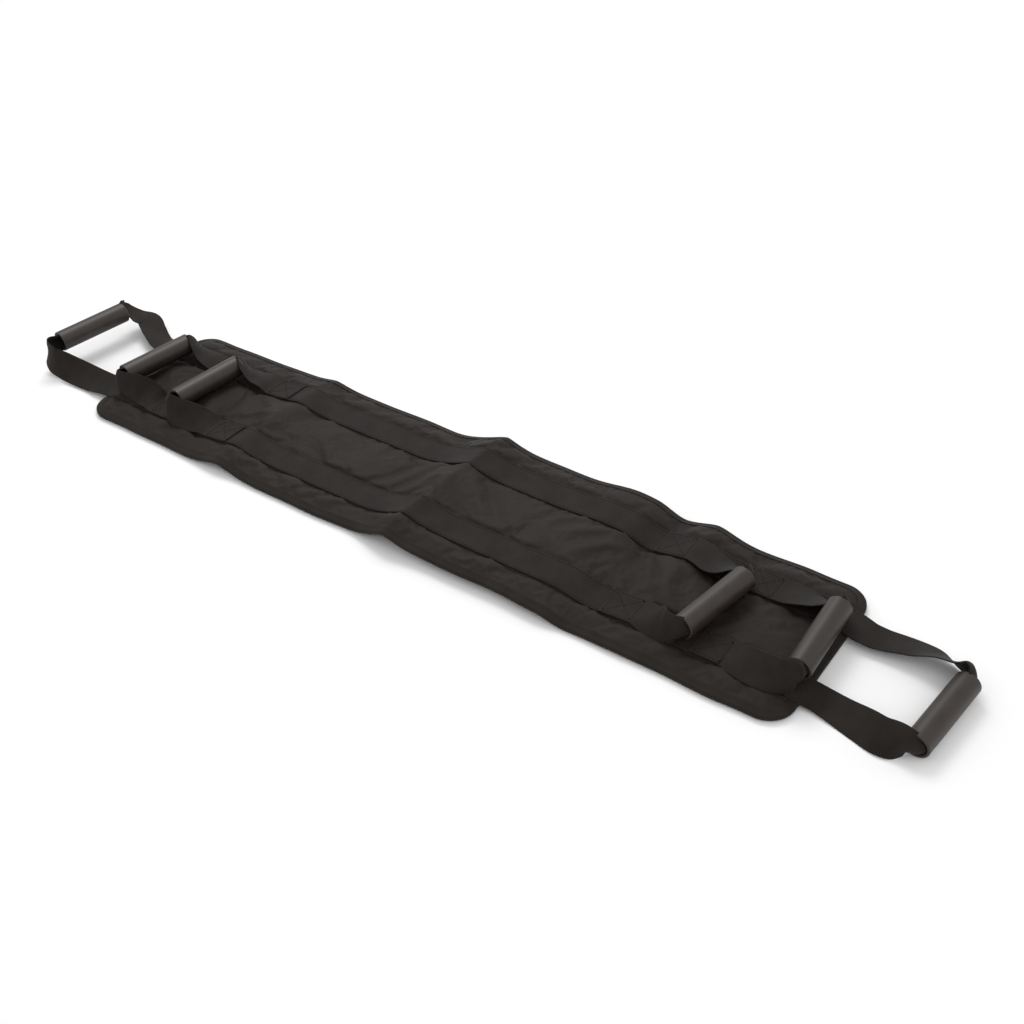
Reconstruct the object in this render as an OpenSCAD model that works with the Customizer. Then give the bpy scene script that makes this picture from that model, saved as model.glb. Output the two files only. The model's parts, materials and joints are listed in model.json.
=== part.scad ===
// Padded transfer belt with six grip handles.
// A long quilted pad carries two webbing straps sewn along its full length.
// At each end three webbing loops, each with a hand grip, are sewn on: inner, middle and outer.
// X runs along the belt, Y across it, Z up. The origin is on the underside, at the middle.

/* [Pad] */
// Length of the pad along X, over the edge binding
pad_len = 1030; // [1000:10:1080]
// Width of the pad along Y, over the edge binding
pad_w = 225; // [210:5:250]
// Thickness of the pad, covers and foam together
pad_t = 12; // [10:1:14]
// Radius of the four rounded corners
corner_r = 30; // [20:1:40]
// Thickness of a fabric cover
cover_t = 1.2; // [0.8:0.1:2]
// Width of the edge binding in plan
binding_w = 3; // [2:0.5:5]
// Height of the edge binding's top edge above the underside
binding_top = 8; // [5:0.5:9]

/* [Folds] */
// Place of the fold near the middle of the belt
middle_fold_x = 15; // [-40:5:40]
// Distance of the two quarter folds from the middle of the belt
quarter_fold_x = 268; // [240:1:272]
// Gap between two panels at the underside of a fold
fold_gap = 0.4; // [0.3:0.1:1]
// Angle of the bevel on each side of a fold, open at the top
fold_bevel = 18; // [16:1:22]

/* [Webbing] */
// Width of the webbing
web_w = 38; // [36:1:40]
// Thickness of the webbing of the two long straps and the tabs
web_t = 1.8; // [1.4:0.1:2]
// Distance of each strap's centre line from the middle of the pad
strap_y = 57; // [54:1:60]
// Thickness of the webbing of a handle loop
loop_t = 1.6; // [1.2:0.1:1.7]
// Width of the loop's webbing where it is folded inside a grip
folded_w = 19; // [16:1:19]
// Thickness of the loop's webbing where it is folded inside a grip
folded_t = 3.8; // [3:0.1:4]

/* [Grips] */
// Outer diameter of a grip tube
grip_d = 28; // [26:1:30]
// Diameter of a grip tube's bore
grip_bore_d = 22; // [21:0.5:23]
// Length of a grip tube
grip_len = 105; // [95:1:106]
// Chamfer round both edges of a grip's ends
grip_chamfer = 0.8; // [0.4:0.1:1.2]

/* [Stitching] */
// Width of a line of stitching
thread_w = 0.8; // [0.6:0.1:1.2]
// Height of a line of stitching above the webbing
thread_h = 0.4; // [0.3:0.1:0.5]
// Distance of a line of stitching from the edge of the webbing
thread_inset = 3; // [2:0.5:5]

/* [Hidden] */
// Inner tab, from its end edge to the hinge line of the inner handle
inner_tab = [282, 322.4];
inner_hinge_x = 324;
// Middle tab, from its end edge to the hinge line of the middle handle
middle_tab = [392, 428.4];
middle_hinge_x = 430;
// The straps run a little past the pad, up to the hinge line of the outer handle
strap_end = 519.8;
outer_hinge_x = 521.5;

pad_end = pad_len / 2;
strap_z = pad_t + web_t;
tab_top = strap_z + web_t;
tab_hinge_z = 15.2;
strap_hinge_z = 12.9;
lying_z = tab_top + grip_d / 2 + 0.4;
floor_z = grip_d / 2 + 0.2;
leg_start = 0.3;
corner_fn = 96;
leg_rings = 14;
mouth_gap = 1;

// How far a leg swings out past the mouth of its grip
mouth_reach = 20;

// Each handle: side, hinge x, hinge z, grip centre x, y, z, grip turn in plan,
// reach of the leg as it leaves the tab, height of its arch
HANDLES = [
    [-1, inner_hinge_x, tab_hinge_z, 390, 0, lying_z, -6, 28, 30],
    [-1, middle_hinge_x, tab_hinge_z, 494, 4, lying_z, -8, 28, 30],
    [-1, outer_hinge_x, strap_hinge_z, 628, 4, 40, -8, 50, 14],
    [1, inner_hinge_x, tab_hinge_z, 386, -14, lying_z, -10, 28, 30],
    [1, middle_hinge_x, tab_hinge_z, 500, -2, lying_z, 2, 28, 30],
    [1, outer_hinge_x, strap_hinge_z, 637, -18, floor_z, -6, 50, 10]
];

// Panels: 0 left end, 1 left centre, 2 right centre, 3 right end. Each lies between two cuts.
PANEL_CUTS = [-700, -quarter_fold_x, middle_fold_x, quarter_fold_x, 700];

// ---- Pad layers, each over the whole length ----

// Outline of the pad in plan, drawn in by a distance
module outline(inset) {
    r = corner_r - inset;
    dx = pad_end - corner_r;
    dy = pad_w / 2 - corner_r;
    square([2 * dx, pad_w - 2 * inset], center = true);
    square([pad_len - 2 * inset, 2 * dy], center = true);
    for (sx = [-1, 1], sy = [-1, 1])
        translate([sx * dx, sy * dy]) circle(r, $fn = corner_fn);
}

module slab(inset, z0, z1) {
    translate([0, 0, z0]) linear_extrude(z1 - z0) outline(inset);
}

// The space of one panel: it leans back from each fold, so that the belt can also fold upwards
module panel_space(i) {
    high = 30;
    lean = high * tan(fold_bevel);
    low_x = PANEL_CUTS[i] + fold_gap / 2;
    high_x = PANEL_CUTS[i + 1] - fold_gap / 2;
    rotate([90, 0, 0])
        linear_extrude(pad_w + 20, center = true)
            polygon([
                [low_x, -1], [high_x, -1], [high_x, 0],
                [high_x - lean, high], [low_x + lean, high], [low_x, 0]
            ]);
}

module in_panel(i) {
    intersection() {
        children();
        panel_space(i);
    }
}

module bottom_cover(i) {
    color([0.16, 0.14, 0.13]) in_panel(i) slab(binding_w, 0, cover_t);
}

module foam(i) {
    color([0.3, 0.3, 0.3]) in_panel(i) slab(binding_w + cover_t, cover_t, pad_t - cover_t);
}

// The top cover comes down over the foam's sides and meets the bottom cover at the seam
module top_cover(i) {
    color([0.18, 0.16, 0.15]) in_panel(i)
        difference() {
            slab(binding_w, cover_t, pad_t);
            slab(binding_w + cover_t, 0, pad_t - cover_t);
        }
}

// Folded tape round the seam
module edge_binding(i) {
    color([0.1, 0.09, 0.09]) in_panel(i)
        difference() {
            slab(0, 0.3, binding_top);
            slab(binding_w, 0, binding_top + 1);
        }
}

// ---- Straps, tabs and stitching ----

module web_strip(x0, x1, side, z0) {
    translate([x0, side * strap_y - web_w / 2, z0]) cube([x1 - x0, web_w, web_t]);
}

module strap(i, side) {
    color([0.12, 0.11, 0.1]) in_panel(i) web_strip(-strap_end, strap_end, side, pad_t);
}

module thread_line(x0, x1, y, z0) {
    translate([x0, y - thread_w / 2, z0]) cube([x1 - x0, thread_w, thread_h]);
}

// Two lines of stitching down each strap, left off where a tab is sewn over them
module strap_stitching(i) {
    y_in = web_w / 2 - thread_inset;
    runs = [
        [-strap_end + 4, -middle_hinge_x - 12], [-middle_tab[0] + 2, -inner_hinge_x - 12],
        [-inner_tab[0] + 2, inner_tab[0] - 2],
        [inner_hinge_x + 12, middle_tab[0] - 2], [middle_hinge_x + 12, strap_end - 4]
    ];
    color([0.2, 0.19, 0.18]) in_panel(i)
        for (run = runs, side = [-1, 1], edge = [-1, 1])
            thread_line(run[0], run[1], side * strap_y + edge * y_in, strap_z);
}

// The sewn ends of a handle's webbing, one on each strap
module handle_tabs(end_side, tab) {
    x0 = end_side > 0 ? tab[0] : -tab[1];
    color([0.12, 0.11, 0.1])
        for (side = [-1, 1])
            web_strip(x0, x0 + tab[1] - tab[0], side, strap_z);
}

// A box of stitching with a cross in it, centred on a tab
module box_stitch(x, y, len) {
    half_x = len / 2 - thread_inset;
    half_y = web_w / 2 - thread_inset;
    diagonal = 2 * norm([half_x, half_y]) - 2;
    translate([x, y, tab_top]) {
        for (s = [-1, 1]) {
            translate([-half_x - thread_w / 2, s * half_y - thread_w / 2, 0])
                cube([2 * half_x + thread_w, thread_w, thread_h]);
            translate([s * half_x - thread_w / 2, -half_y, 0])
                cube([thread_w, 2 * half_y, thread_h]);
            rotate([0, 0, s * atan2(half_y, half_x)])
                translate([-diagonal / 2, -thread_w / 2, 0])
                    cube([diagonal, thread_w, thread_h]);
        }
    }
}

module tab_stitching(end_side) {
    color([0.2, 0.19, 0.18])
        for (tab = [inner_tab, middle_tab], side = [-1, 1])
            box_stitch(end_side * (tab[0] + tab[1]) / 2, side * strap_y, tab[1] - tab[0]);
}

// ---- Handles ----

function mix(a, b, t) = a + (b - a) * t;
function ramp(t, t0, t1) = let (u = min(1, max(0, (t - t0) / (t1 - t0)))) u * u * (3 - 2 * u);
function unit(v) = v / norm(v);

function grip_centre(h) = [h[0] * h[3], h[4], h[5]];
// Direction of the grip's axis, towards the far side
function grip_dir(h) = [-sin(h[6]), cos(h[6]), 0];
function grip_mouth(h, side) = grip_centre(h) + side * (grip_len / 2 + mouth_gap) * grip_dir(h);

// Four control points of a leg, from the sewn tab to the mouth of the grip
function leg_controls(h, side) =
    let (
        start = [h[0] * (h[1] + leg_start), side * strap_y, h[2]],
        mouth = grip_mouth(h, side)
    ) [
        start,
        start + [h[0] * h[7], 0, h[8]],
        mouth + side * mouth_reach * grip_dir(h),
        mouth
    ];

function bezier(p, t) =
    pow(1 - t, 3) * p[0] + 3 * pow(1 - t, 2) * t * p[1] + 3 * (1 - t) * t * t * p[2] + pow(t, 3) * p[3];
function bezier_dir(p, t) =
    unit(pow(1 - t, 2) * (p[1] - p[0]) + 2 * (1 - t) * t * (p[2] - p[1]) + t * t * (p[3] - p[2]));

// One ring of the webbing: centre, direction of travel, direction of its width, width, thickness
function band_ring(c, dir, across, w, t) =
    let (
        u = unit(across - dir * (across * dir)),
        v = cross(dir, u)
    ) [
        c - u * w / 2 - v * t / 2, c + u * w / 2 - v * t / 2,
        c + u * w / 2 + v * t / 2, c - u * w / 2 + v * t / 2
    ];

// Flat on the tab, the webbing turns on edge and folds narrower on its way to the grip
function leg_ring(h, side, t, travel) =
    let (
        p = leg_controls(h, side),
        turn = 90 * ramp(t, 0.05, 0.55),
        fold = ramp(t, 0.05, 0.65)
    )
    band_ring(
        bezier(p, t),
        travel * bezier_dir(p, t),
        [0, -side * cos(turn), sin(turn)],
        mix(web_w, folded_w, fold),
        mix(loop_t, folded_t, fold)
    );

function loop_rings(h) = concat(
    [for (i = [0:leg_rings]) leg_ring(h, -1, i / leg_rings, 1)],
    [for (s = [-0.3, 0.3]) band_ring(grip_centre(h) + s * grip_len * grip_dir(h), grip_dir(h),
        [0, 0, 1], folded_w, folded_t)],
    [for (i = [leg_rings:-1:0]) leg_ring(h, 1, i / leg_rings, -1)]
);

// The webbing of one handle: near leg, the stretch inside the grip, far leg
module handle_loop(h) {
    rings = loop_rings(h);
    last = len(rings) - 1;
    // Both faces of the webbing are split along the same diagonal, so that they never cross
    sides = [
        for (i = [0:last - 1], j = [0:3], half = [0, 1])
            let (k = (j + 1) % 4, a = 4 * i + j, b = 4 * i + k, c = a + 4, d = b + 4)
            j < 2
                ? (half == 0 ? [a, c, d] : [a, d, b])
                : (half == 0 ? [a, c, b] : [c, d, b])
    ];
    caps = [
        [0, 1, 2], [0, 2, 3],
        [4 * last + 3, 4 * last + 2, 4 * last + 1], [4 * last + 3, 4 * last + 1, 4 * last]
    ];
    color([0.11, 0.1, 0.1])
        polyhedron([for (ring = rings, point = ring) point], concat(sides, caps));
}

// A plain plastic tube with chamfered ends that turns freely on the webbing
module grip(h) {
    r_out = grip_d / 2;
    r_in = grip_bore_d / 2;
    half = grip_len / 2;
    c = grip_chamfer;
    color([0.14, 0.14, 0.15])
        translate(grip_centre(h))
            rotate([0, 0, h[6]])
                rotate([90, 0, 0])
                    rotate_extrude($fn = 96)
                        polygon([
                            [r_in, -half + c], [r_in + c, -half], [r_out - c, -half], [r_out, -half + c],
                            [r_out, half - c], [r_out - c, half], [r_in + c, half], [r_in, half - c]
                        ]);
}

bottom_cover(0);  // left_end_bottom_cover
foam(0);  // left_end_foam
top_cover(0);  // left_end_top_cover
edge_binding(0);  // left_end_edge_binding
strap(0, -1);  // left_end_near_strap
strap(0, 1);  // left_end_far_strap
strap_stitching(0);  // left_end_strap_stitching
handle_tabs(-1, inner_tab);  // left_end_inner_handle_tabs
handle_tabs(-1, middle_tab);  // left_end_middle_handle_tabs
tab_stitching(-1);  // left_end_tab_stitching
bottom_cover(1);  // left_centre_bottom_cover
foam(1);  // left_centre_foam
top_cover(1);  // left_centre_top_cover
edge_binding(1);  // left_centre_edge_binding
strap(1, -1);  // left_centre_near_strap
strap(1, 1);  // left_centre_far_strap
strap_stitching(1);  // left_centre_strap_stitching
bottom_cover(2);  // right_centre_bottom_cover
foam(2);  // right_centre_foam
top_cover(2);  // right_centre_top_cover
edge_binding(2);  // right_centre_edge_binding
strap(2, -1);  // right_centre_near_strap
strap(2, 1);  // right_centre_far_strap
strap_stitching(2);  // right_centre_strap_stitching
bottom_cover(3);  // right_end_bottom_cover
foam(3);  // right_end_foam
top_cover(3);  // right_end_top_cover
edge_binding(3);  // right_end_edge_binding
strap(3, -1);  // right_end_near_strap
strap(3, 1);  // right_end_far_strap
strap_stitching(3);  // right_end_strap_stitching
handle_tabs(1, inner_tab);  // right_end_inner_handle_tabs
handle_tabs(1, middle_tab);  // right_end_middle_handle_tabs
tab_stitching(1);  // right_end_tab_stitching
handle_loop(HANDLES[0]);  // left_inner_loop
handle_loop(HANDLES[1]);  // left_middle_loop
handle_loop(HANDLES[2]);  // left_outer_loop
handle_loop(HANDLES[3]);  // right_inner_loop
handle_loop(HANDLES[4]);  // right_middle_loop
handle_loop(HANDLES[5]);  // right_outer_loop
grip(HANDLES[0]);  // left_inner_grip
grip(HANDLES[1]);  // left_middle_grip
grip(HANDLES[2]);  // left_outer_grip
grip(HANDLES[3]);  // right_inner_grip
grip(HANDLES[4]);  // right_middle_grip
grip(HANDLES[5]);  // right_outer_grip
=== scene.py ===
import json
import math

import bpy
import numpy as np
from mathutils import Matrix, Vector


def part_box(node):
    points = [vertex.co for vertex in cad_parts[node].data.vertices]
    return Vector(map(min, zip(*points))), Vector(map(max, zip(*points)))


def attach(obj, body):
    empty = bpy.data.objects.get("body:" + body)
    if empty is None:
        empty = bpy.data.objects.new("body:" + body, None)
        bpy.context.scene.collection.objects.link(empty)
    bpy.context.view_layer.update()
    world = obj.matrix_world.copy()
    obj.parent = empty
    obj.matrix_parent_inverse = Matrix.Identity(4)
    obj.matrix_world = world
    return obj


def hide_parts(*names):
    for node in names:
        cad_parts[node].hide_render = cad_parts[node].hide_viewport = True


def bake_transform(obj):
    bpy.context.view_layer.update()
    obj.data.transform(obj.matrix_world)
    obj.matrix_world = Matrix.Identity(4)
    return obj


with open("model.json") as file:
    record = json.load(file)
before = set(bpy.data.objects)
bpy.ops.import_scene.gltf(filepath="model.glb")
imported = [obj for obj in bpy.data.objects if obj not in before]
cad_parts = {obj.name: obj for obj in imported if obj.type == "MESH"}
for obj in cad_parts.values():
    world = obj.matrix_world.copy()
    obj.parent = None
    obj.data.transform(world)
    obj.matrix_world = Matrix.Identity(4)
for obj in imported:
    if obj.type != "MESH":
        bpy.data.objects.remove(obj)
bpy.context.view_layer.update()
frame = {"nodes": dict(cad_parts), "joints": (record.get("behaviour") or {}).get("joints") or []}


# ---------------------------------------------------------------------------
# The pad
# Two covers of tightly woven black nylon over a thin sheet of foam, sewn together round the rim
# and quilted down by the two straps. It lies on the floor with the creases it was folded along.
# ---------------------------------------------------------------------------

MM = 0.001
PANELS = ("left_end", "left_centre", "right_centre", "right_end")
joints = {joint["name"]: joint for joint in frame["joints"]}


def box_mm(node):
    """The lowest and highest corners of a CAD node, in millimetres."""
    return [np.array(corner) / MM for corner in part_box(node)]


rim_high = box_mm("right_end_edge_binding")[1]
strap_low, strap_high = box_mm("right_end_far_strap")
pad_end = rim_high[0]
pad_half = rim_high[1]
strap_y = (strap_low[1] + strap_high[1]) / 2
web_half = (strap_high[1] - strap_low[1]) / 2
crown_z = strap_low[2]
corner_radius = 30.0
tape_out = 1.4      # how far the binding stands out past the covers
tape_reach = 8.5    # how far it reaches in over them
rim_top = 6.4       # height of the top cover at the rim, and of the bottom cover below it
rim_bottom = 2.2
ripple_room = 1.2   # how far the covers' sides stand in, to leave room for their ripple


def step(x, start, end):
    """0 before start, 1 after end, and a smooth S between: 3u^2 - 2u^3 of the share u of the way."""
    u = np.clip((x - start) / (end - start), 0, 1)
    return u * u * (3 - 2 * u)


def hump(x, centre, half_width, power=2.0):
    """A rounded hump, exp(-|(x - centre) / half_width|^power)."""
    return np.exp(-np.abs((x - centre) / half_width) ** power)


def lift(x, y):
    """Height of the pad's underside off the floor: a sharp ridge at the middle fold, the arch between it
    and the right quarter fold, and a low bump beside each quarter fold, each skewed a little across the belt."""
    far = y / pad_half
    arch = (9.5 + 1.0 * far) * step(x, -55, 25) * (1 - step(x, 232 + 12 * far, 276 + 12 * far))
    arch += (2.5 + 3.5 * far) * hump(x, 215, 42)
    ridge = 11.5 * hump(x, 20 + 9 * far, 27, 1.35)
    left_bump = 9.0 * hump(x, -262 + 6 * far, 30, 1.6)
    right_bump = (6.5 + 5.5 * far) * hump(x, 325, 30, 1.7)
    return arch + ridge + left_bump + right_bump


def half_width(x):
    """Half the pad's width at x: straight sides that turn in on a quarter circle at each corner."""
    into_corner = np.clip(np.abs(x) - (pad_end - corner_radius), 0, corner_radius)
    drawn_in = corner_radius - np.sqrt(np.maximum(corner_radius**2 - into_corner**2, 0))
    ripple = 0.8 * np.sin(x / 31) + 0.6 * np.sin(x / 17 + 1)
    return pad_half - tape_out - ripple_room - drawn_in + ripple * (1 - step(np.abs(x), 430, 480))


def rim_distance(x, y):
    """Distance in from the rim, the lesser of the way to the side and to the end, rounded where they meet."""
    to_side = half_width(x) - np.abs(y)
    to_end = pad_end - tape_out - np.abs(x)
    return np.maximum(-8 * np.log(np.exp(-to_side / 8) + np.exp(-to_end / 8) + 1e-9), 0)


def strap_bed(x):
    """Height of the pad where a strap lies on it: level, and running down to the rim at each end."""
    run_down = step(np.abs(x), pad_end - 20, pad_end)
    return crown_z - 0.9 - (crown_z - 0.9 - rim_top) * run_down


def pad_top(x, y):
    """Top cover: it rises from the rim on 1 - exp(-d / 8), puffs up between the straps and in the margins
    beside them, and is pulled down in a groove along each edge of a strap."""
    d = rim_distance(x, y)
    across = np.abs(y) - strap_y
    puff = 2.6 * np.clip(1 - (y / (strap_y - web_half)) ** 2, 0, 1) ** 0.6
    margin = (np.abs(y) - strap_y - web_half) / (pad_half - strap_y - web_half)
    puff += 2.4 * np.clip(4 * margin * (1 - margin), 0, 1) ** 0.7 * (margin > 0)
    groove = 1.3 * hump(np.abs(across), web_half + 1.5, 2.2)
    height = rim_top + (crown_z - 1.0 - rim_top) * (1 - np.exp(-d / 8)) - groove * step(d, 2, 10)
    height += (puff + creases(x, y)) * step(d, tape_reach, tape_reach + 18)
    on_strap = 1 - step(np.abs(across), web_half - 2, web_half + 1.5)
    return height * (1 - on_strap) + np.minimum(strap_bed(x), height + 3) * on_strap


def creases(x, y):
    """Soft creases left in the cover by folding and packing: a sum of slanted waves 35 to 90 mm long whose
    heights come and go along the pad."""
    wander = 9 * np.sin(x / 71 + 1) + 6 * np.sin(y / 23 + x / 140)
    first = np.sin((x + 0.8 * y + wander) / 9.5) * np.clip(np.sin(x / 47 + 0.6 + y / 60), 0, 1)
    second = np.sin((x - 1.1 * y + 2 * wander) / 7.0) * np.clip(np.sin(x / 37 + 2.4 - y / 45), 0, 1)
    third = np.sin((x + 0.2 * y - wander) / 14.0 + 1.5) * np.clip(np.sin(x / 83 + 4.0), 0, 1)
    return 0.55 * first + 0.4 * second + 0.5 * third


def pad_under(x, y):
    """Bottom cover: flat on the floor, and rising to the rim over the last few millimetres."""
    d = rim_distance(x, y)
    return 0.3 + (rim_bottom - 0.3) * np.exp(-d / 5)


def halve(grid, axis):
    """Adds a point midway between each pair along one axis, on a cubic through the four nearest:
    (-a + 9b + 9c - d) / 16."""
    g = np.moveaxis(grid, axis, 0)
    padded = np.concatenate([2 * g[:1] - g[1:2], g, 2 * g[-1:] - g[-2:-1]])
    middle = (-padded[:-3] + 9 * padded[1:-2] + 9 * padded[2:-1] - padded[3:]) / 16
    out = np.empty((2 * len(g) - 1,) + g.shape[1:])
    out[0::2] = g
    out[1::2] = middle
    return np.moveaxis(out, 0, axis)


def make_mesh(name, points_mm, faces, uv_mm=None):
    """A smooth mesh object from points in millimetres. uv_mm gives each point's place on the cloth, also in
    millimetres."""
    mesh = bpy.data.meshes.new(name)
    mesh.from_pydata((np.asarray(points_mm) * MM).tolist(), [], faces)
    mesh.polygons.foreach_set("use_smooth", np.ones(len(mesh.polygons), bool))
    if uv_mm is not None:
        corners = np.empty(len(mesh.loops), np.int32)
        mesh.loops.foreach_get("vertex_index", corners)
        layer = mesh.uv_layers.new(name="cloth")
        layer.data.foreach_set("uv", np.asarray(uv_mm, np.float32)[corners].ravel())
    mesh.validate()
    mesh.update()
    piece = bpy.data.objects.new(name, mesh)
    bpy.context.scene.collection.objects.link(piece)
    return piece


def grid_quads(rows, columns, first=0, flip=False):
    """The quads of a grid of rows x columns points that starts at point number first."""
    number = first + np.arange(rows * columns).reshape(rows, columns)
    quads = np.stack([number[:-1, :-1], number[1:, :-1], number[1:, 1:], number[:-1, 1:]], -1).reshape(-1, 4)
    return quads[:, ::-1] if flip else quads


def swell(x, y, z, frames=18):
    """The top cover as cloth: cut a little too large for the seams that hold it, more in some places than in
    others, and pushed up from below by the foam, so that it puckers between them. Held points stay still,
    and none moves more than 4 mm."""
    rows, columns = x.shape
    sheet = make_mesh("cover_cloth", np.stack([x, y, z], -1).reshape(-1, 3), grid_quads(rows, columns).tolist())
    held = sheet.vertex_groups.new(name="held")
    pinned = (rim_distance(x, y) < tape_reach) | (np.abs(np.abs(y) - strap_y) < web_half - 0.5)
    pinned[[0, -1]] = True
    pinned[:, [0, -1]] = True
    held.add(np.flatnonzero(pinned.ravel()).tolist(), 1.0, "REPLACE")
    full = sheet.vertex_groups.new(name="full")
    fullness = 0.5 + 0.5 * np.sin(x / 29 + 2 * np.sin(y / 31)) * np.sin(x / 67 + y / 40 + 2)
    for number, weight in enumerate(np.round(fullness.ravel(), 2).tolist()):
        full.add([number], weight, "REPLACE")
    cloth = sheet.modifiers.new("cloth", "CLOTH")
    settings = cloth.settings
    settings.quality = 7
    settings.mass = 0.05
    settings.tension_stiffness = 8
    settings.compression_stiffness = 8
    settings.shear_stiffness = 3
    settings.bending_stiffness = 0.6
    settings.tension_damping = 8
    settings.compression_damping = 8
    settings.bending_damping = 0.6
    settings.vertex_group_shrink = "full"
    settings.shrink_min = -0.03
    settings.shrink_max = 0.0
    settings.use_pressure = True
    settings.uniform_pressure_force = 0.5
    settings.vertex_group_mass = "held"
    settings.effector_weights.gravity = 0
    cloth.point_cache.frame_start = 1
    cloth.point_cache.frame_end = frames + 1
    scene = bpy.context.scene
    for number in range(1, frames + 1):
        scene.frame_set(number)
    done = sheet.evaluated_get(bpy.context.evaluated_depsgraph_get()).data
    moved = np.empty(rows * columns * 3, np.float32)
    done.vertices.foreach_get("co", moved)
    moved = moved.reshape(rows, columns, 3) / MM
    scene.frame_set(1)
    bpy.data.objects.remove(sheet)
    change = np.clip(moved - np.stack([x, y, z], -1), -4, 4)
    return x + change[..., 0], y + change[..., 1], z + change[..., 2]


pad_spacing = 4.0
margin_count = 8
along = np.linspace(-(pad_end - tape_out), pad_end - tape_out, int(round(2 * pad_end / pad_spacing)) + 1)
strap_in, strap_out = strap_y - web_half, strap_y + web_half
middle_lines = np.arange(0, strap_in - 4, pad_spacing)
strap_lines = np.concatenate([strap_in + np.array([-3.0, -0.8]), np.linspace(strap_in + 1, strap_out - 1, 7),
                              strap_out + np.array([0.8, 3.0])])
fixed = np.concatenate([middle_lines, strap_lines])
fixed = np.concatenate([-fixed[:0:-1], fixed])
margin_share = np.arange(1, margin_count + 1) / margin_count
pad_x = np.repeat(along[:, None], len(fixed) + 2 * margin_count, 1)
margin_y = fixed[-1] + (half_width(along)[:, None] - fixed[-1]) * margin_share
pad_y = np.concatenate([-margin_y[:, ::-1], np.repeat(fixed[None], len(along), 0), margin_y], 1)
top_x, top_y, top_z = pad_x, pad_y, pad_top(pad_x, pad_y)
top_x, top_y, top_z = swell(top_x, top_y, top_z)
top_grid = np.stack([top_x, top_y, top_z], -1)
top_grid = halve(halve(top_grid, 0), 1)
under_grid = np.stack([pad_x, pad_y, pad_under(pad_x, pad_y)], -1)
under_grid = halve(halve(under_grid, 0), 1)
under_grid[:, [0, -1], :2] = top_grid[:, [0, -1], :2]
under_grid[[0, -1], :, :2] = top_grid[[0, -1], :, :2]
for grid in (top_grid, under_grid):
    grid[..., 2] += lift(grid[..., 0], grid[..., 1])

fold_x = [joints[name]["pos_m"][0] / MM for name in ("left_quarter_fold", "middle_fold", "right_quarter_fold")]
rows_x = halve(along, 0)
cut_rows = [
    0,
    int(np.argmin(np.abs(rows_x - (fold_x[0] + fold_x[1]) / 2))),
    int(np.argmin(np.abs(rows_x - (fold_x[1] + fold_x[2]) / 2))),
    len(rows_x) - 1,
]
cut_x = [rows_x[row] for row in cut_rows]
STRETCHES = ("left", "middle", "right")
STRETCH_PANELS = {"left": PANELS[:1], "middle": PANELS[1:3], "right": PANELS[3:]}


def bend_at_fold(piece):
    """Bakes a piece's placement into its mesh."""
    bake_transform(piece)


def sharpen(piece, end_points):
    """Marks as sharp each edge between two of a piece's end points."""
    pairs = np.empty(2 * len(piece.data.edges), np.int32)
    piece.data.edges.foreach_get("vertices", pairs)
    sharp = piece.data.attributes.new("sharp_edge", "BOOLEAN", "EDGE")
    sharp.data.foreach_set("value", np.isin(pairs.reshape(-1, 2), end_points).all(1))


def closed_slab(name, upper, lower):
    """A closed solid between two grids of points, with walls round its four sides and sharp edges at its ends."""
    rows, columns = upper.shape[:2]
    count = rows * columns
    number = np.arange(count).reshape(rows, columns)
    faces = [grid_quads(rows, columns), grid_quads(rows, columns, count, flip=True)]
    for ring, turn in ((number[:, 0], 1), (number[:, -1], -1), (number[0], -1), (number[-1], 1)):
        wall = np.stack([ring[:-1], ring[:-1] + count, ring[1:] + count, ring[1:]], -1)
        faces.append(wall[:, ::turn])
    faces = np.concatenate(faces)[:, ::-1]
    points = np.concatenate([upper.reshape(-1, 3), lower.reshape(-1, 3)])
    piece = make_mesh(name, points, faces.tolist(), points[:, :2])
    sharpen(piece, np.concatenate([number[0], number[-1], number[0] + count, number[-1] + count]))
    return piece


def linear(hex_colour):
    """An sRGB hex colour as a linear RGBA tuple."""
    parts = [int(hex_colour[i:i + 2], 16) / 255 for i in (1, 3, 5)]
    return tuple(c / 12.92 if c <= 0.04045 else ((c + 0.055) / 1.055) ** 2.4 for c in parts) + (1.0,)


def add(tree, kind, inputs=None, **settings):
    """Adds a node, sets its settings, and fills its inputs with values or with other nodes' outputs."""
    made = tree.nodes.new(kind)
    for key, value in settings.items():
        setattr(made, key, value)
    for socket, value in (inputs or {}).items():
        if isinstance(value, bpy.types.NodeSocket):
            tree.links.new(value, made.inputs[socket])
        else:
            made.inputs[socket].default_value = value
    return made


def new_material(name):
    """A new node material, returned with its node tree and its Principled shader."""
    material = bpy.data.materials.new(name)
    material.use_nodes = True
    tree = material.node_tree
    shader = tree.nodes["Principled BSDF"]
    return material, tree, shader


def wave_scale(pitch):
    """The wave texture's scale for bands at a pitch: its phase is 20 * scale * distance, in radians."""
    return 2 * math.pi / pitch / 20


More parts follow.
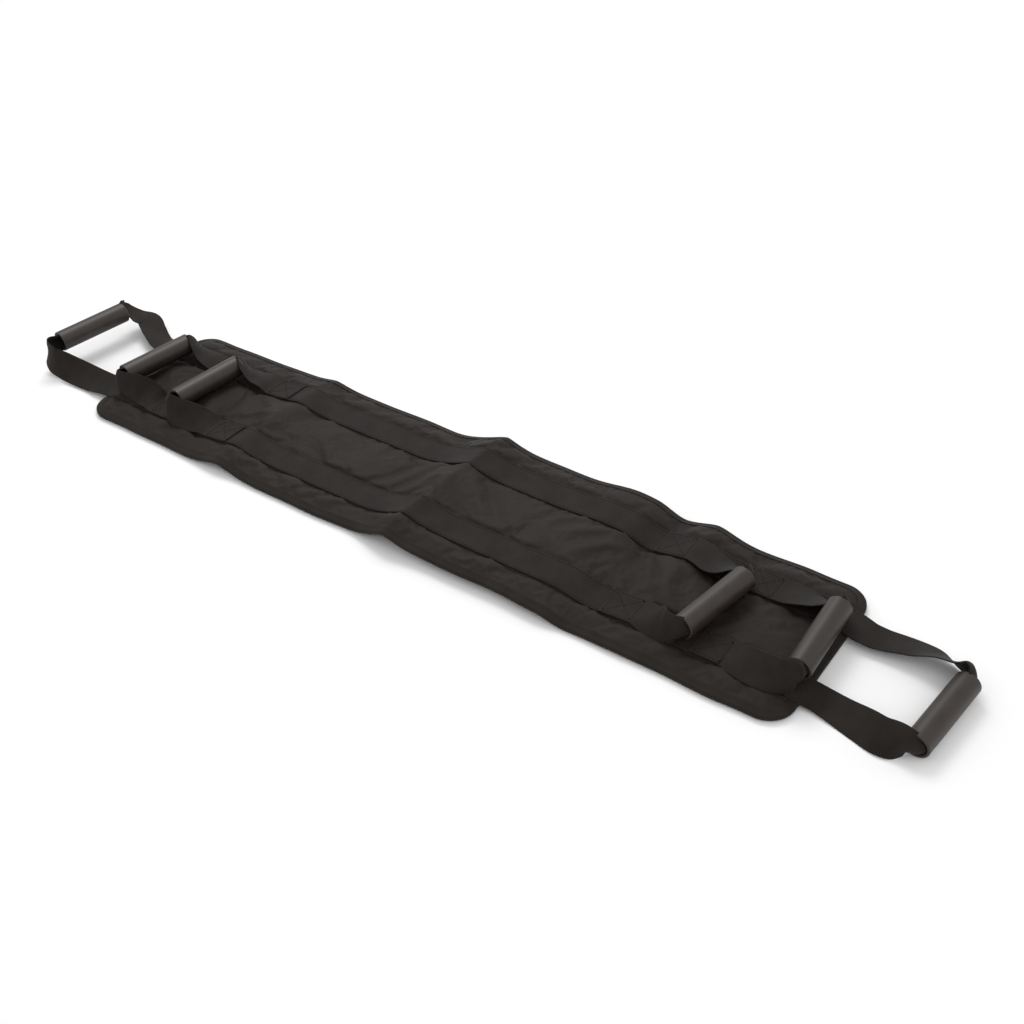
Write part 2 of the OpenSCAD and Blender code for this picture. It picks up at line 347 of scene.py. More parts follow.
def nylon_oxford():
    """Black nylon oxford cloth, dyed in the yarn: a close plain weave with a faint sheen, a little browner
    where the light catches it. The weave shows as a 1.1 mm grid, about twice the real thread spacing."""
    material, tree, shader = new_material("nylon_oxford")
    place = add(tree, "ShaderNodeTexCoord").outputs["Object"]
    scale = wave_scale(1.1 * MM)
    across = add(tree, "ShaderNodeTexWave", {"Vector": place, "Scale": scale, "Distortion": 0.6},
                 bands_direction="X", wave_profile="SIN")
    lengthwise = add(tree, "ShaderNodeTexWave", {"Vector": place, "Scale": scale, "Distortion": 0.6},
                     bands_direction="Y", wave_profile="SIN")
    weave = add(tree, "ShaderNodeMath", {0: across.outputs["Fac"], 1: lengthwise.outputs["Fac"]},
                operation="MULTIPLY")
    cloudy = add(tree, "ShaderNodeTexNoise", {"Vector": place, "Scale": 28.0, "Detail": 4.0, "Roughness": 0.6})
    crush = add(tree, "ShaderNodeTexNoise", {"Vector": place, "Scale": 110.0, "Detail": 3.0, "Roughness": 0.55})
    tone = add(tree, "ShaderNodeMapRange", {"Value": cloudy.outputs["Fac"], "From Min": 0.3, "From Max": 0.7})
    dye = add(tree, "ShaderNodeMix", {0: tone.outputs["Result"], 6: linear("#1e1813"), 7: linear("#282019")},
              data_type="RGBA")
    # Painted shade: the darker colour fills the low parts of the weave, the same weave that raises the grain bump.
    weave_with_painted_shade = add(tree, "ShaderNodeMix", {0: weave.outputs["Value"], 6: linear("#19130f"), 7: dye.outputs[2]},
                  data_type="RGBA")
    tree.links.new(weave_with_painted_shade.outputs[2], shader.inputs["Base Color"])
    folds = add(tree, "ShaderNodeBump", {"Height": crush.outputs["Fac"], "Strength": 0.35, "Distance": 0.0011})
    grain = add(tree, "ShaderNodeBump", {"Height": weave.outputs["Value"], "Strength": 0.45,
                                         "Distance": 0.00022, "Normal": folds.outputs["Normal"]})
    tree.links.new(grain.outputs["Normal"], shader.inputs["Normal"])
    rough = add(tree, "ShaderNodeMapRange", {"Value": cloudy.outputs["Fac"], "To Min": 0.58, "To Max": 0.72})
    tree.links.new(rough.outputs["Result"], shader.inputs["Roughness"])
    shader.inputs["Specular IOR Level"].default_value = 0.22
    shader.inputs["Sheen Weight"].default_value = 0.03
    shader.inputs["Sheen Roughness"].default_value = 0.4
    return material


cover_cloth = nylon_oxford()
for stretch, part in enumerate(STRETCHES):
    rows = slice(cut_rows[stretch], cut_rows[stretch + 1] + 1)
    cover = closed_slab(part + "_padded_cover", top_grid[rows], under_grid[rows])
    cover.data.materials.append(cover_cloth)
    stands_for = STRETCH_PANELS[part]
    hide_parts(*[panel + suffix for panel in stands_for
                         for suffix in ("_top_cover", "_bottom_cover", "_foam")])
    bend_at_fold(cover)


# ---------------------------------------------------------------------------
# The edge binding
# A ribbed nylon tape folded round the raw rim of the covers and sewn through, all the way round.
# It is carried along the rim as a flat U, and rises and falls with the pad.
# ---------------------------------------------------------------------------

tape_thick = 0.9
rim_spacing = 2.0


def rim_line():
    """Points round the pad's rim, anticlockwise from the left of the near side, with the outward direction."""
    straight_x = pad_end - tape_out - corner_radius
    turn = np.linspace(0, math.pi / 2, 25)
    x = np.linspace(-straight_x, straight_x, int(2 * straight_x / rim_spacing))
    near = np.stack([x, -half_width(x)], -1)
    far = np.stack([x[::-1], half_width(x[::-1])], -1)
    centre_y = half_width(np.array([straight_x]))[0] - corner_radius
    rise, run = corner_radius * np.sin(turn), corner_radius * np.cos(turn)
    right_low = np.stack([straight_x + rise, -centre_y - run], -1)
    right_high = np.stack([straight_x + run, centre_y + rise], -1)
    left_high = np.stack([-straight_x - rise, centre_y + run], -1)
    left_low = np.stack([-straight_x - run, -centre_y - rise], -1)
    end_y = np.linspace(-centre_y, centre_y, int(2 * centre_y / rim_spacing))[1:-1]
    right_end = np.stack([np.full(len(end_y), straight_x + corner_radius), end_y], -1)
    left_end = np.stack([np.full(len(end_y), -straight_x - corner_radius), end_y[::-1]], -1)
    line = np.concatenate([near, right_low[1:], right_end, right_high[:-1],
                           far, left_high[1:], left_end, left_low[:-1]])
    ahead = np.roll(line, -1, 0) - np.roll(line, 1, 0)
    out = np.stack([ahead[:, 1], -ahead[:, 0]], -1)
    return line, out / np.linalg.norm(out, axis=1, keepdims=True)


def tape_section():
    """The folded tape's section, as (distance out from the rim, height): a flat U, from its top edge inside
    the rim, round the outside to its bottom edge, and back along its inner face."""
    top = rim_top + tape_thick
    fold = np.linspace(math.pi / 2, -math.pi / 2, 9)
    middle = (rim_top + rim_bottom) / 2
    radius = (rim_top - rim_bottom) / 2 + tape_thick
    outer = [(-tape_reach, top - 0.3), (-tape_reach + 0.8, top), (-5.0, top), (-2.0, top)]
    outer += [(tape_out * math.cos(a), middle + radius * math.sin(a)) for a in fold]
    outer += [(-3.0, rim_bottom - tape_thick), (-tape_reach + 1, rim_bottom - tape_thick)]
    inner = [(-tape_reach + 1, rim_bottom - 0.1), (-1.0, rim_bottom - 0.1), (-0.5, middle),
             (-1.0, rim_top), (-tape_reach, rim_top)]
    return np.array(outer + inner)


yarn_pitch = 1.6


def webbing_rib(name, darker, lighter, pitch_mm, depth):
    """Black nylon webbing or tape, woven with raised ribs across its width: matt, with painted light on the raised
    ribs and painted shade in the grooves between them.
    Ribs follow the cloth's own length, at pitch_mm, with the yarns running over them."""
    material, tree, shader = new_material(name)
    place = add(tree, "ShaderNodeUVMap", uv_map="cloth").outputs["UV"]
    ribs = add(tree, "ShaderNodeTexWave",
               {"Vector": place, "Scale": wave_scale(pitch_mm), "Distortion": 0.8, "Detail": 2.0},
               bands_direction="X", wave_profile="SIN")
    yarns = add(tree, "ShaderNodeTexWave", {"Vector": place, "Scale": wave_scale(yarn_pitch), "Distortion": 0.8},
                bands_direction="Y", wave_profile="SIN")
    fluff = add(tree, "ShaderNodeTexNoise", {"Vector": place, "Scale": 0.9, "Detail": 3.0, "Roughness": 0.7})
    cloudy = add(tree, "ShaderNodeTexNoise", {"Vector": place, "Scale": 0.035, "Detail": 4.0})
    cross = add(tree, "ShaderNodeMath", {0: ribs.outputs["Fac"], 1: yarns.outputs["Fac"]}, operation="MULTIPLY")
    height = add(tree, "ShaderNodeMath", {0: fluff.outputs["Fac"], 1: 0.9, 2: cross.outputs["Value"]},
                 operation="MULTIPLY_ADD")
    # Painted light and shade: the colour follows the weave's height, lighter where the ribs, yarns and fluff stand
    # up and darker in the hollows.
    shade = add(tree, "ShaderNodeMapRange", {"Value": height.outputs["Value"], "From Min": 0.35, "From Max": 1.2})
    yarn = add(tree, "ShaderNodeMix", {0: shade.outputs["Result"], 6: linear(darker), 7: linear(lighter)},
               data_type="RGBA")
    worn = add(tree, "ShaderNodeMapRange",
               {"Value": cloudy.outputs["Fac"], "From Min": 0.35, "From Max": 0.7, "To Max": 0.4})
    tone = add(tree, "ShaderNodeMix", {0: worn.outputs["Result"], 6: yarn.outputs[2], 7: linear("#2d2620")},
               data_type="RGBA")
    tree.links.new(tone.outputs[2], shader.inputs["Base Color"])
    bump = add(tree, "ShaderNodeBump", {"Height": height.outputs["Value"], "Strength": 0.6, "Distance": depth})
    tree.links.new(bump.outputs["Normal"], shader.inputs["Normal"])
    shader.inputs["Roughness"].default_value = 0.75
    shader.inputs["Specular IOR Level"].default_value = 0.2
    shader.inputs["Sheen Weight"].default_value = 0.04
    shader.inputs["Sheen Roughness"].default_value = 0.45
    return material


def carried(name, rings, uv):
    """A closed solid from a row of rings of points, with a flat cap at each end. uv is (rings, points, 2)."""
    count, around = rings.shape[:2]
    number = np.arange(count * around).reshape(count, around)
    nxt = np.roll(number, -1, 1)
    quads = np.stack([number[:-1], nxt[:-1], nxt[1:], number[1:]], -1).reshape(-1, 4).tolist()
    half = around // 2
    for row, turn in ((number[0], -1), (number[-1], 1)):
        for i in range(half - 1):
            quads.append([int(row[i]), int(row[i + 1]), int(row[around - 2 - i]), int(row[around - 1 - i])][::turn])
    piece = make_mesh(name, rings.reshape(-1, 3), quads, uv.reshape(-1, 2))
    sharpen(piece, np.concatenate([number[0], number[-1]]))
    return piece


# The two colours are the painted shade in the tape's grooves and the painted light on its ribs.
binding_tape = webbing_rib("ribbed_binding_tape", "#110e0b", "#231d18", 1.6, 0.00018)
line, outward = rim_line()
section = tape_section()
section_length = np.concatenate([[0], np.cumsum(np.linalg.norm(np.diff(section, axis=0), axis=1))])


def tape_rings(start, end):
    """The tape's rings between two places in the rim line, following the pad's lift and its soft edge."""
    index = np.arange(start, end + 1) % len(line)
    at, out = line[index], outward[index]
    xy = at[:, None] + out[:, None] * section[None, :, :1]
    z = section[None, :, 1] + lift(xy[..., 0], xy[..., 1])
    far_in = np.clip(-section[None, :, 0] / tape_reach, 0, 1)
    top_side = section[None, :, 1] > (rim_top + rim_bottom) / 2
    z = z + top_side * far_in * (pad_top(xy[..., 0], xy[..., 1]) - rim_top)
    u = np.arange(start, end + 1) * rim_spacing
    uv = np.stack(np.broadcast_arrays(u[:, None], section_length[None, :]), -1)
    return np.concatenate([xy, z[..., None]], -1), uv


def nearest_rim(x, side):
    """The place in the rim line nearest to x on the near (-1) or far (1) side."""
    on_side = np.where(np.sign(line[:, 1]) == side, np.abs(line[:, 0] - x), 1e9)
    return int(np.argmin(on_side))


near_cuts = [nearest_rim(x, -1) for x in cut_x[1:3]]
far_cuts = [nearest_rim(x, 1) for x in cut_x[1:3]]
total = len(line)
tape_runs = {
    "left": [(far_cuts[0], near_cuts[0] + total)],
    "middle": [(near_cuts[0], near_cuts[1]), (far_cuts[1], far_cuts[0])],
    "right": [(near_cuts[1], far_cuts[1])],
}


def join(pieces, name):
    """One object from several, with the first one's materials and sharp edges."""
    with bpy.context.temp_override(active_object=pieces[0], selected_editable_objects=pieces):
        bpy.ops.object.join()
    pieces[0].name = name
    pieces[0].data.name = name
    return pieces[0]


for stretch, part in enumerate(STRETCHES):
    runs = [carried(f"binding_run_{i}", *tape_rings(*run)) for i, run in enumerate(tape_runs[part])]
    binding = join(runs, part + "_edge_binding")
    binding.data.materials.append(binding_tape)
    stands_for = STRETCH_PANELS[part]
    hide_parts(*[panel + "_edge_binding" for panel in stands_for])
    bend_at_fold(binding)


# ---------------------------------------------------------------------------
# The two straps
# 38 mm nylon webbing laid along the whole pad and sewn down both edges. At each end it runs on
# past the pad as the outer handle, so a strap stops here where that handle's webbing begins.
# ---------------------------------------------------------------------------

web_thick = 1.5
ring_spacing = 2.5
outer_start = 470.0


def strap_top(x, y):
    """Height of the webbing's middle over the pad."""
    return strap_bed(x) + lift(x, y) + web_thick / 2 + 0.15


def band_section(half, thick):
    """The webbing's section as (across, up): a flat strip with rounded edges, top from one edge to the other
    and back along the bottom."""
    across = np.concatenate([[-half, 0.6 - half], np.linspace(1.5 - half, half - 1.5, 9), [half - 0.6, half]])
    drop = 0.3 * thick * (np.abs(across) > half - 0.1)
    top = np.stack([across, thick / 2 - drop], -1)
    bottom = np.stack([across[::-1], -thick / 2 + drop[::-1]], -1)
    return np.concatenate([top, bottom])


def strap_rings(x0, x1, side):
    """Rings along a strap from x0 to x1, each point at its own height on the pad."""
    x = np.linspace(x0, x1, int((x1 - x0) / ring_spacing) + 1)
    flat = band_section(web_half, web_thick)
    y = side * strap_y + flat[:, 0]
    grid_x, grid_y = np.broadcast_arrays(x[:, None], y[None, :])
    z = strap_top(grid_x, grid_y) + flat[None, :, 1]
    uv = np.stack([grid_x, grid_y - side * strap_y], -1)
    return np.stack([grid_x, grid_y, z], -1), uv


# The two colours are the painted shade in the webbing's grooves and the painted light on its ribs.
strap_webbing = webbing_rib("ribbed_nylon_webbing", "#0a0807", "#241d18", 2.2, 0.0003)
for side, row in ((-1, "near"), (1, "far")):
    ends = [-outer_start, cut_x[1], cut_x[2], outer_start]
    for stretch, part in enumerate(STRETCHES):
        rings, uv = strap_rings(ends[stretch], ends[stretch + 1], side)
        strap = carried(f"{part}_{row}_strap", rings, uv)
        strap.data.materials.append(strap_webbing)
        stands_for = STRETCH_PANELS[part]
        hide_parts(*[f"{panel}_{row}_strap" for panel in stands_for])
        bend_at_fold(strap)


# ---------------------------------------------------------------------------
# The six handle loops
# Each is a length of the same webbing: sewn flat on the straps, it stands on edge, curls into a
# gutter to pass through the bore of its grip, and comes back the same way. The outer pair are the
# straps' own ends. The webbing is stiff enough to hold the shape it was left in.
# ---------------------------------------------------------------------------

curl_radius = 9.6
tab_gap = 0.25      # between a sewn tab and the strap below it
outer_lap = 36.0    # the stretch of an outer loop that lies flat in line with the strap
# Where the inner and the middle loops are sewn down, measured outwards from the belt's middle.
sewn = {"inner": (282.0, 322.4), "middle": (392.0, 428.4)}
# How many degrees below level the webbing's back lies in the grips at each end.
DROOP = {"left": 10.0, "right": 35.0}


def edges(lower, upper, curl=0.0):
    """A key of a loop from its two edges: the middle point, the across vector and the curl. The webbing keeps
    its width, so only the direction from one edge to the other counts."""
    lower, upper = np.array(lower, float), np.array(upper, float)
    return (lower + upper) / 2, upper - lower, curl


def on_strap(x, y_side, raised, turned=False):
    """A key of a loop that lies flat on the strap, raised above it. The strap's outer edge becomes the leg's
    lower edge, and its inner edge the upper one, unless the leg is turned over."""
    outer, inner = y_side * (strap_y + web_half), y_side * (strap_y - web_half)
    pair = (x, outer, strap_top(x, outer) + raised), (x, inner, strap_top(x, inner) + raised)
    return edges(*pair[::-1]) if turned else edges(*pair)


def through(keys):
    """A smooth line through the keys' points, with their across vectors and curls carried along it:
    a cubic between each two keys, whose slopes are those of the chords on both sides."""
    points = np.array([np.concatenate([k[0], k[1] / np.linalg.norm(k[1]), [k[2]]]) for k in keys])
    gaps = np.linalg.norm(np.diff(points[:, :3], axis=0), axis=1)
    t = np.concatenate([[0], np.cumsum(gaps)])
    slopes = np.diff(points, axis=0) / gaps[:, None]
    tangents = np.empty_like(points)
    tangents[0], tangents[-1] = slopes[0], slopes[-1]
    weight = (gaps[:-1] / (gaps[:-1] + gaps[1:]))[:, None]
    tangents[1:-1] = slopes[:-1] * (1 - weight) + slopes[1:] * weight
    s = np.linspace(0, t[-1], int(t[-1] / ring_spacing) + 1)
    i = np.clip(np.searchsorted(t, s, side="right") - 1, 0, len(gaps) - 1)
    u = ((s - t[i]) / gaps[i])[:, None]
    g = gaps[i][:, None]
    curve = ((2 * u**3 - 3 * u**2 + 1) * points[i] + (u**3 - 2 * u**2 + u) * g * tangents[i]
             + (3 * u**2 - 2 * u**3) * points[i + 1] + (u**3 - u**2) * g * tangents[i + 1])
    return curve[:, :3], curve[:, 3:6], np.clip(curve[:, 6], 0, 1)


def band_rings(keys, side):
    """Rings of webbing carried along the keys. Each ring's section is bent to a circle of radius
    curl_radius / curl about the line, towards the belt, so that a curl of 0 is flat."""
    mid, across, curl = through(keys)
    ahead = np.gradient(mid, axis=0)
    ahead /= np.linalg.norm(ahead, axis=1, keepdims=True)
    across = across - ahead * (across * ahead).sum(1, keepdims=True)
    across /= np.linalg.norm(across, axis=1, keepdims=True)
    hollow = -side * np.cross(ahead, across)
    flat = band_section(web_half, web_thick)
    bend = np.maximum(curl, 1e-3)[:, None] / curl_radius
    radius = 1 / bend + flat[None, :, 1]
    angle = flat[None, :, 0] * bend
    sideways = radius * np.sin(angle)
    inwards = 1 / bend - radius * np.cos(angle)
    rings = mid[:, None] + across[:, None] * sideways[..., None] + hollow[:, None] * inwards[..., None]
    length = np.concatenate([[0], np.cumsum(np.linalg.norm(np.diff(mid, axis=0), axis=1))])
    uv = np.stack(np.broadcast_arrays(length[:, None], flat[None, :, 0]), -1)
    if side < 0:
        rings, uv = rings[:, ::-1], uv[:, ::-1]
    return rings, uv


def grip_place(name):
    """A grip's centre and the direction of its axis towards the far side, from its spin joint, in millimetres."""
    joint = joints[name + "_grip_spin"]
    return np.array(joint["pos_m"]) / MM, np.array(joint["axis"], float)


def grip_keys(name, side, droop):
    """Keys of the curled stretch inside a grip. The gutter's back lies against the bore on the side away
    from the belt, droop degrees below level."""
    centre, axis = grip_place(name)
    low, high = box_mm(name + "_grip")
    half = (high[1] - low[1]) / 2 - 1
    level = np.cross(axis, [0, 0, 1.0]) * side
    level /= np.linalg.norm(level)
    a = math.radians(droop)
    back = level * math.cos(a) + np.array([0, 0, -1.0]) * math.sin(a)
    across = np.array([0, 0, 1.0]) * math.cos(a) + level * math.sin(a)
    return [(centre + back * curl_radius + axis * place * half, across, 1.0)
            for place in (-0.96, -0.5, 0.0, 0.5, 0.96)]


# The route of each handle's two legs, near then far, from the sewn webbing to the mouth of the grip:
# a point on the lower edge, one on the upper edge, and the curl where it has begun.
LEGS = {
    "left_inner": (
        [edges((-336, -78, 17), (-334, -41, 23)), edges((-354, -80, 15), (-350, -50, 34)),
         edges((-375, -81, 15), (-369, -61, 43)), edges((-391, -77, 16), (-388, -69, 50), 0.2)],
        [edges((-338, 75, 17), (-334, 38, 20)), edges((-358, 73, 16), (-350, 37, 25)),
         edges((-376, 72, 17), (-366, 42, 37), 0.1), edges((-391, 70, 18), (-383, 55, 48), 0.4)],
    ),
    "left_middle": (
        [edges((-442, -74, 16), (-440, -40, 28)), edges((-464, -70, 15), (-460, -52, 42)),
         edges((-484, -69, 14), (-480, -60, 44)), edges((-498, -68, 13), (-496, -65, 46), 0.2)],
        [edges((-442, 76, 15), (-441, 38, 18)), edges((-462, 76, 15), (-458, 42, 26)),
         edges((-478, 76, 16), (-470, 48, 38), 0.1), edges((-492, 74, 18), (-484, 59, 49), 0.4)],
    ),
    "left_outer": (
        [edges((-532, -77, 8), (-530, -42, 14)), edges((-558, -78, 4), (-556, -45, 18)),
         edges((-586, -79, 4), (-582, -50, 25)), edges((-612, -80, 5), (-606, -56, 34)),
         edges((-633, -76, 8), (-631, -64, 45)), edges((-643, -68, 16), (-643, -60, 54), 0.2)],
        [edges((-534, 38, 12), (-538, 75, 8)), edges((-552, 42, 13), (-560, 79, 5)),
         edges((-570, 49, 15), (-576, 86, 7)), edges((-588, 58, 17), (-593, 95, 12)),
         edges((-602, 65, 20), (-609, 101, 18)), edges((-609, 62, 25), (-622, 94, 20)),
         edges((-611, 56, 28), (-635, 77, 34), 0.2), edges((-614, 53, 29), (-640, 62, 47), 0.6)],
    ),
    "right_inner": (
        [edges((336, -79, 17), (334, -43, 22)), edges((352, -82, 15), (347, -53, 36)),
         edges((367, -82, 14), (359, -68, 46), 0.1), edges((381, -77, 15), (374, -76, 48), 0.4)],
        [edges((338, 72, 22), (338, 34, 23)), edges((352, 67, 20), (354, 29, 24)),
         edges((367, 64, 18), (368, 30, 31), 0.1), edges((382, 60, 16), (384, 37, 41), 0.2),
         edges((393, 57, 15), (394, 50, 45), 0.5)],
    ),
    "right_middle": (
        [edges((440, -81, 15), (440, -45, 22)), edges((460, -84, 15), (460, -54, 32)),
         edges((480, -85, 14), (478, -60, 42)), edges((498, -79, 14), (494, -68, 50), 0.2),
         edges((512, -67, 16), (508, -66, 52), 0.6)],
        [edges((442, 74, 15), (443, 36, 17)), edges((458, 71, 15), (460, 34, 25)),
         edges((474, 69, 15), (476, 36, 33), 0.1), edges((489, 67, 15), (491, 45, 40), 0.2),
         edges((501, 64, 15), (502, 59, 46), 0.5)],
    ),
    "right_outer": (
        [edges((532, -74, 4), (534, -38, 4)), edges((556, -78, 2), (556, -42, 6)),
         edges((578, -84, 2), (578, -50, 14)), edges((600, -90, 2), (599, -60, 24)),
         edges((616, -87, 2), (614, -68, 33), 0.2), edges((629, -80, 2), (627, -77, 33), 0.7)],
        [edges((534, 69, 8), (532, 31, 10)), edges((550, 70, 6), (549, 32, 10)),
         edges((566, 71, 6), (565, 34, 13)), edges((586, 71, 6), (586, 36, 18)),
         edges((606, 67, 6), (607, 36, 27)), edges((624, 60, 5), (627, 40, 31), 0.2),
         edges((637, 54, 6), (639, 46, 36), 0.5)],
    ),
}
# The far leg of this handle lies turned over, so the loop holds a half turn.
TURNED = {"left_outer"}
for name, (near_leg, far_leg) in LEGS.items():
    end, place = name.split("_")
    side = 1 if end == "right" else -1
    if place == "outer":
        starts = np.linspace(outer_start, outer_start + outer_lap, 4)
        raised = 0.0
    else:
        tab_in, tab_out = sewn[place]
        starts = np.linspace(tab_in, tab_out, 5)
        raised = web_thick + tab_gap
    begin = [on_strap(side * x, -1, raised) for x in starts]
    finish = [on_strap(side * x, 1, raised, name in TURNED) for x in starts][::-1]
    keys = begin + near_leg + grip_keys(name, side, DROOP[end]) + far_leg[::-1] + finish
    rings, uv = band_rings(keys, side)
    loop = carried(name + "_handle_webbing", rings, uv)
    loop.data.materials.append(strap_webbing)
    nodes = [name + "_loop"] + ([] if place == "outer" else [f"{end}_end_{place}_handle_tabs"])
    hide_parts(*nodes)
    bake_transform(loop)


# ---------------------------------------------------------------------------
# The grips
# Plain tubes of black moulded plastic, chamfered at both ends, that turn on the webbing. They keep
# their CAD shape and take a satin material.
# ---------------------------------------------------------------------------


def satin_plastic():
    """Moulded black polypropylene tube with a satin skin: a soft highlight along its length,
    broken up a little by a fine moulded grain and by handling."""
    material, tree, shader = new_material("satin_black_polypropylene")
    place = add(tree, "ShaderNodeTexCoord").outputs["Object"]
    fine = add(tree, "ShaderNodeTexNoise", {"Vector": place, "Scale": 1400.0, "Detail": 2.0})
    rubbed = add(tree, "ShaderNodeTexNoise", {"Vector": place, "Scale": 60.0, "Detail": 4.0, "Roughness": 0.6})
    tone = add(tree, "ShaderNodeMapRange", {"Value": rubbed.outputs["Fac"], "From Min": 0.3, "From Max": 0.7})
    colour = add(tree, "ShaderNodeMix", {0: tone.outputs["Result"], 6: linear("#241c17"), 7: linear("#2e251f")},
                 data_type="RGBA")
    tree.links.new(colour.outputs[2], shader.inputs["Base Color"])
    rough = add(tree, "ShaderNodeMapRange", {"Value": rubbed.outputs["Fac"], "To Min": 0.42, "To Max": 0.54})
    tree.links.new(rough.outputs["Result"], shader.inputs["Roughness"])
    bump = add(tree, "ShaderNodeBump", {"Height": fine.outputs["Fac"], "Strength": 0.15, "Distance": 0.00006})
    tree.links.new(bump.outputs["Normal"], shader.inputs["Normal"])
    return material


grip_plastic = satin_plastic()
for name in LEGS:
    grip = frame["nodes"][name + "_grip"]
    grip.data.materials.clear()
    grip.data.materials.append(grip_plastic)


# ---------------------------------------------------------------------------
# The stitching
# Bonded black thread in lock stitches: two lines down each strap, and a box with a cross on each
# sewn tab. Each stitch shows as a short raised bead.
# ---------------------------------------------------------------------------

stitch_long = 3.0
stitch_gap = 4.2
stitch_inset = 2.6
thread_thick = 0.65
bead_sides = 6


def beads(name, centres, ahead, up):
    """One bead for each stitch: a short six-sided spindle that swells from its ends to the thread's
    thickness, half sunk in the cloth."""
    ahead = ahead / np.linalg.norm(ahead, axis=1, keepdims=True)
    up = up - ahead * (up * ahead).sum(1, keepdims=True)
    up /= np.linalg.norm(up, axis=1, keepdims=True)
    beside = np.cross(ahead, up)
    places = np.array([-0.5, -0.3, 0.3, 0.5]) * stitch_long
    widths = np.array([0.25, 1.0, 1.0, 0.25]) * thread_thick / 2
    angle = np.arange(bead_sides) * math.pi / 3
    ring = (widths[:, None] * np.cos(angle)).ravel(), (widths[:, None] * np.sin(angle)).ravel()
    runs = np.repeat(places, bead_sides)
    points = (centres[:, None] + ahead[:, None] * runs[None, :, None] + beside[:, None] * ring[0][None, :, None]
              + up[:, None] * ring[1][None, :, None])
    number = np.arange(len(runs)).reshape(-1, bead_sides)
    nxt = np.roll(number, -1, 1)
    quads = np.stack([number[:-1], number[1:], nxt[1:], nxt[:-1]], -1).reshape(-1, 4)
    cap = np.array([[0, 1, 2, 3], [3, 4, 5, 0]])
    faces = np.concatenate([quads, cap, number[-1, 0] + cap[:, ::-1]])
    every = (faces[None] + len(runs) * np.arange(len(centres))[:, None, None]).reshape(-1, 4)
    return make_mesh(name, points.reshape(-1, 3), every.tolist())


def bonded_thread():
    """Bonded nylon thread, black and matt, darker than the webbing it is sunk in."""
    material, tree, shader = new_material("bonded_nylon_thread")
    place = add(tree, "ShaderNodeTexCoord").outputs["Object"]
    twist = add(tree, "ShaderNodeTexNoise", {"Vector": place, "Scale": 700.0, "Detail": 1.0})
    colour = add(tree, "ShaderNodeMix", {0: twist.outputs["Fac"], 6: linear("#0d0b0a"), 7: linear("#191512")},
                 data_type="RGBA")
    tree.links.new(colour.outputs[2], shader.inputs["Base Color"])
    shader.inputs["Roughness"].default_value = 0.75
    shader.inputs["Specular IOR Level"].default_value = 0.12
    return material


def row_of(start, end):
    """Stitch centres from start to end in plan, evenly spaced, and their direction."""
    start, end = np.array(start, float), np.array(end, float)
    length = np.linalg.norm(end - start)
    count = max(int(length / stitch_gap), 1)
    share_along = (np.arange(count) + 0.5) / count
    places = start + (end - start) * share_along[:, None]
    return places, np.repeat((end - start)[None] / length, count, 0)


def on_surface(places, heading, height):
    """Stitches laid on the surface z = height(x, y): centres, directions and ups in space."""
    x, y = places[:, 0], places[:, 1]
    d = 0.5
    slope_x = (height(x + d, y) - height(x - d, y)) / (2 * d)
    slope_y = (height(x, y + d) - height(x, y - d)) / (2 * d)
    centres = np.stack([x, y, height(x, y)], -1)
    ahead = np.stack([heading[:, 0], heading[:, 1], heading[:, 0] * slope_x + heading[:, 1] * slope_y], -1)
    up = np.stack([-slope_x, -slope_y, np.ones(len(x))], -1)
    return centres, ahead, up


def strap_face(x, y):
    """Height of a strap's upper face."""
    return strap_top(x, y) + web_thick / 2


def tab_face(x, y):
    """Height of the upper face of a tab sewn on a strap."""
    return strap_face(x, y) + web_thick + tab_gap


thread = bonded_thread()
row_y = web_half - stitch_inset
for stretch, part in enumerate(STRETCHES):
    low, high = max(cut_x[stretch], -pad_end + 6), min(cut_x[stretch + 1], pad_end - 6)
    rows = [row_of((low, side * strap_y + edge * row_y), (high, side * strap_y + edge * row_y))
            for side in (-1, 1) for edge in (-1, 1)]
    places, heading = map(np.concatenate, zip(*rows))
    # Stitches below a tab, or below the webbing that rises from it, are out of sight and left out.
    covered = np.zeros(len(places), bool)
    for tab_in, tab_out in sewn.values():
        covered |= (np.abs(places[:, 0]) > tab_in - 2) & (np.abs(places[:, 0]) < tab_out + 14)
    stitches = beads(part + "_strap_stitching", *on_surface(places[~covered], heading[~covered], strap_face))
    stitches.data.materials.append(thread)
    stands_for = STRETCH_PANELS[part]
    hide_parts(*[panel + "_strap_stitching" for panel in stands_for])
    bend_at_fold(stitches)

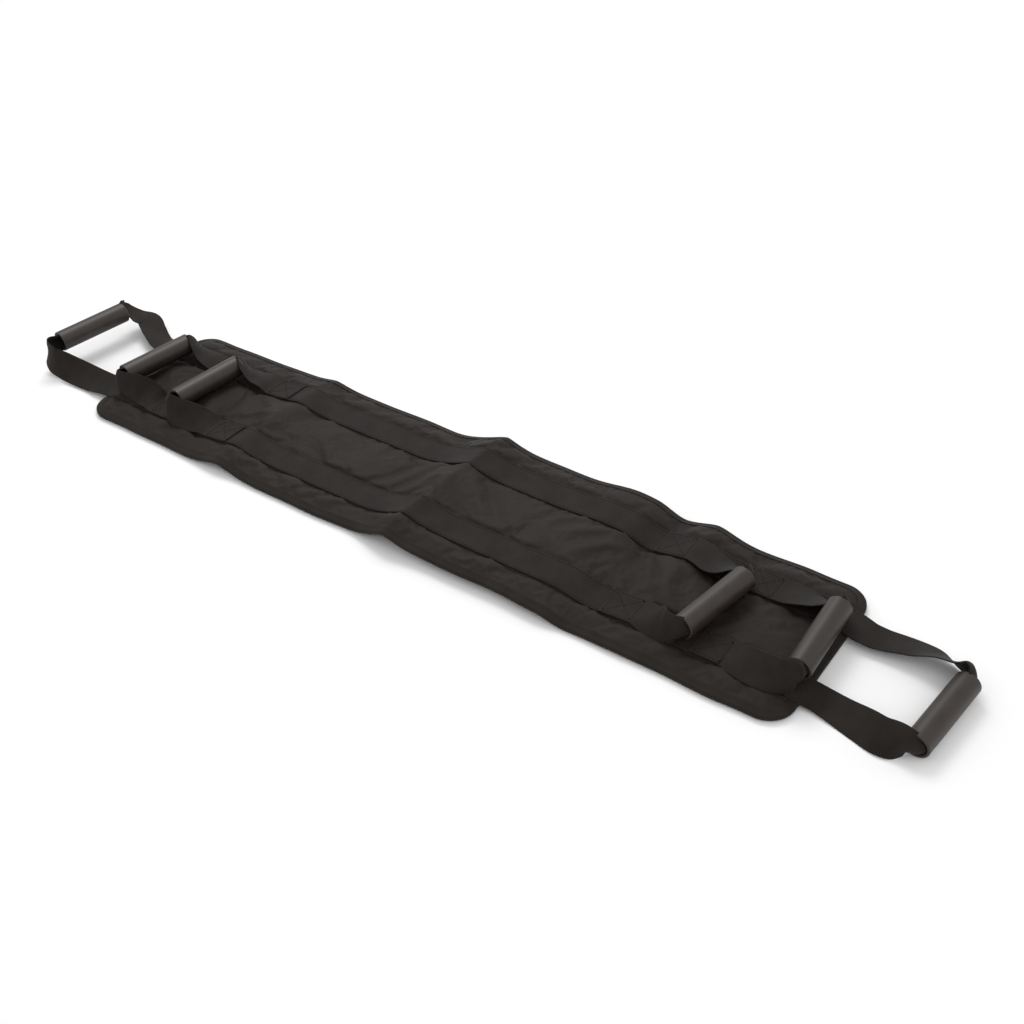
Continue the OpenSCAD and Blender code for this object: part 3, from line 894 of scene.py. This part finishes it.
for end, side in (("left", -1), ("right", 1)):
    rows = []
    for tab_in, tab_out in sewn.values():
        x_in, x_out = side * (tab_in + 3), side * (tab_out - 3)
        for row in (-1, 1):
            y_low, y_high = row * strap_y - row_y, row * strap_y + row_y
            rows += [row_of((x_in, y_low), (x_out, y_low)), row_of((x_in, y_high), (x_out, y_high)),
                     row_of((x_in, y_low), (x_in, y_high)), row_of((x_out, y_low), (x_out, y_high)),
                     row_of((x_in, y_low), (x_out, y_high)), row_of((x_in, y_high), (x_out, y_low))]
    places, heading = map(np.concatenate, zip(*rows))
    boxes = beads(end + "_tab_stitching", *on_surface(places, heading, tab_face))
    boxes.data.materials.append(thread)
    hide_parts(end + "_end_tab_stitching")
    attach(boxes, end + "_end")


# ---------------------------------------------------------------------------
# The stage
# A plain pale floor under two soft studio lights and an even white sky, and the camera, which looks
# down along the belt from its near right side.
# ---------------------------------------------------------------------------

floor_reach = 6000.0
floor_z = -0.2
floor_corners = [(x * floor_reach, y * floor_reach, floor_z) for x, y in ((-1, -1), (1, -1), (1, 1), (-1, 1))]
floor = make_mesh("floor", floor_corners, [[0, 1, 2, 3]])
floor_paint, _, floor_shader = new_material("pale_floor")
floor_shader.inputs["Base Color"].default_value = linear("#f4f4f4")
floor_shader.inputs["Roughness"].default_value = 0.9
floor.data.materials.append(floor_paint)

world = bpy.data.worlds.new("studio")
bpy.context.scene.world = world
world.use_nodes = True
world.node_tree.nodes["Background"].inputs["Color"].default_value = (1.0, 1.0, 1.0, 1.0)
world.node_tree.nodes["Background"].inputs["Strength"].default_value = 0.8


def softbox(name, at, aim, size, watts):
    """A rectangular area light at a place, turned to a target, both in metres."""
    lamp = bpy.data.lights.new(name, "AREA")
    lamp.shape = "RECTANGLE"
    lamp.size, lamp.size_y = size
    lamp.energy = watts
    holder = bpy.data.objects.new(name, lamp)
    holder.location = at
    holder.rotation_euler = (Vector(aim) - Vector(at)).to_track_quat("-Z", "Y").to_euler()
    bpy.context.scene.collection.objects.link(holder)


softbox("key_light", (-1.1, 1.3, 2.3), (0.1, 0, 0), (1.4, 1.0), 34)
softbox("fill_light", (1.8, -1.0, 2.0), (0, 0, 0), (2.0, 2.0), 10)

camera_data = bpy.data.cameras.new("camera")
camera_data.sensor_width = 36.0
camera_data.lens = 45.1
camera = bpy.data.objects.new("camera", camera_data)
camera.location = (0.828, -0.907, 0.959)
camera.rotation_euler = [math.radians(a) for a in (50.92, 2.90, 35.83)]
bpy.context.scene.collection.objects.link(camera)
bpy.context.scene.camera = camera
bpy.context.scene.view_settings.view_transform = "Standard"
